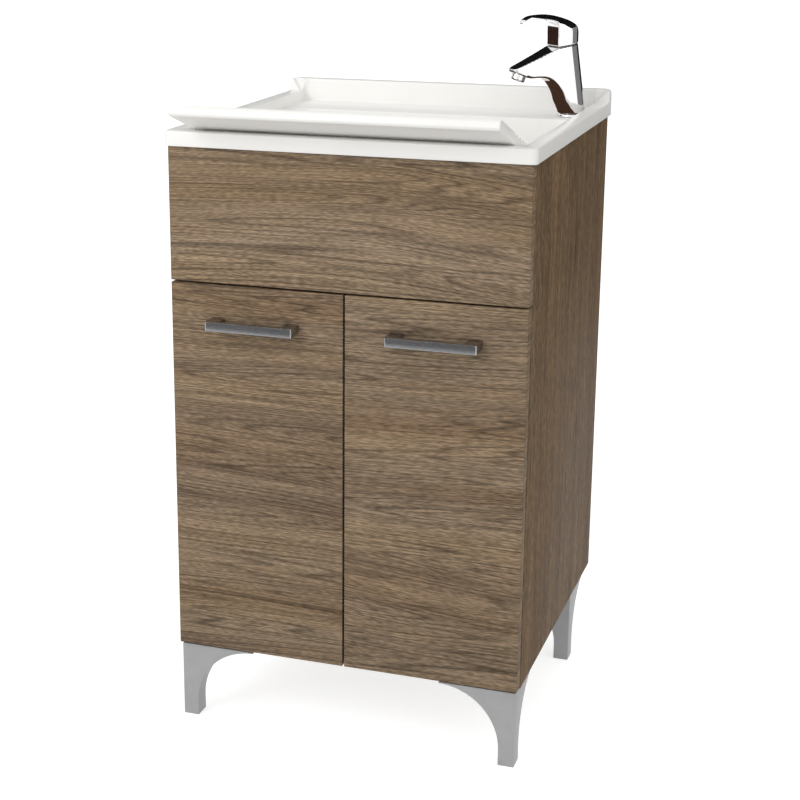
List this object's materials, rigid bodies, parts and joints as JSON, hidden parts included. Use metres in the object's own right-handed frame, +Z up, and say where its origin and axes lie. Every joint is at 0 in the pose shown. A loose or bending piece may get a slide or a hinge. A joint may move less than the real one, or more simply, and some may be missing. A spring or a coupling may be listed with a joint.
{
  "type": "utility laundry sink",
  "caption": "Freestanding laundry cabinet with arched feet, hinged doors with bar handles, a white basin with a sloping washboard, and a single-lever tap.",
  "frame": {"origin": "centre of the bounding box in plan, on the floor under the feet", "axes": "+Z up; the doors and the washboard's nose face -Y; +X to the viewer's right, the side of the tap"},
  "size_m": [0.5, 0.556, 0.973],
  "materials": {
    "wood_board": "grey-brown wood-grain laminate, matt, grain across the doors and upright on the sides",
    "pale_board": "pale melamine-faced board",
    "white_plastic": "white moulded resin, satin gloss",
    "chrome": "polished",
    "satin_steel": "satin nickel",
    "grey_paint": "silver-grey satin paint",
    "zinc_steel": "zinc plated",
    "grey_plastic": "pipe-grade polypropylene",
    "black_rubber": "matt",
    "brass": "machined"
  },
  "bodies": {
    "cabinet": {"side_panel_left": "wood_board", "side_panel_right": "wood_board", "bottom_panel": "pale_board", "back_panel": "pale_board", "front_rail": "pale_board", "rear_rail": "pale_board", "fascia_panel": "wood_board", "fascia_bracket_left": "zinc_steel", "fascia_bracket_right": "zinc_steel", "hinge_arm_left_lower": "zinc_steel", "hinge_arm_left_upper": "zinc_steel", "hinge_arm_right_lower": "zinc_steel", "hinge_arm_right_upper": "zinc_steel", "foot_front_left": "grey_paint", "foot_front_right": "grey_paint", "foot_rear_left": "grey_paint", "foot_rear_right": "grey_paint", "basin": "white_plastic", "waste_flange": "chrome", "waste_gasket": "black_rubber", "waste_nut": "grey_plastic", "tail_pipe": "grey_plastic", "tail_nut": "grey_plastic", "trap_body": "grey_plastic", "trap_cup": "grey_plastic", "outlet_pipe": "grey_plastic", "outlet_nut": "grey_plastic", "tap_base_ring": "chrome", "tap_body": "chrome", "tap_cartridge": "grey_plastic", "tap_aerator": "satin_steel", "tap_shank": "brass", "tap_washer": "black_rubber", "tap_nut": "brass", "tap_inlet_hot": "brass", "tap_inlet_cold": "brass"},
    "door_left": {"door_left": "wood_board", "handle_left": "satin_steel", "handle_screw_left_outer": "zinc_steel", "handle_screw_left_inner": "zinc_steel", "bumper_left_upper": "black_rubber", "bumper_left_lower": "black_rubber", "hinge_cup_left_lower": "zinc_steel", "hinge_cup_left_upper": "zinc_steel"},
    "door_right": {"door_right": "wood_board", "handle_right": "satin_steel", "handle_screw_right_outer": "zinc_steel", "handle_screw_right_inner": "zinc_steel", "bumper_right_upper": "black_rubber", "bumper_right_lower": "black_rubber", "hinge_cup_right_lower": "zinc_steel", "hinge_cup_right_upper": "zinc_steel"},
    "washboard": {"washboard": "white_plastic"},
    "plug": {"drain_plug": "black_rubber"},
    "mixer": {"tap_stem": "brass"},
    "lever": {"tap_lever": "chrome"}
  },
  "joints": [
    {"name": "door_left_hinge", "type": "hinge", "parent": "cabinet", "child": "door_left", "pos_m": [-0.245, -0.19899, 0.375], "axis": [0, 0, -1], "range_deg": [0, 95]},
    {"name": "door_right_hinge", "type": "hinge", "parent": "cabinet", "child": "door_right", "pos_m": [0.245, -0.19899, 0.375], "axis": [0, 0, 1], "range_deg": [0, 95]},
    {"name": "washboard_slide", "type": "slide", "parent": "cabinet", "child": "washboard", "axis": [0, -0.9455, 0.3256], "range_m": [0, 0.15]},
    {"name": "plug_lift", "type": "slide", "parent": "cabinet", "child": "plug", "axis": [0, 0, 1], "range_m": [0, 0.1]},
    {"name": "mixer_turn", "type": "hinge", "parent": "cabinet", "child": "mixer", "pos_m": [0.1918, 0.19581, 0.93035], "axis": [-0.1045, -0.1045, 0.989], "range_deg": [-45, 45]},
    {"name": "lever_lift", "type": "hinge", "parent": "mixer", "child": "lever", "pos_m": [0.20577, 0.20978, 0.9336], "axis": [-0.7071, 0.7071, 0], "range_deg": [0, 22]}
  ]
}
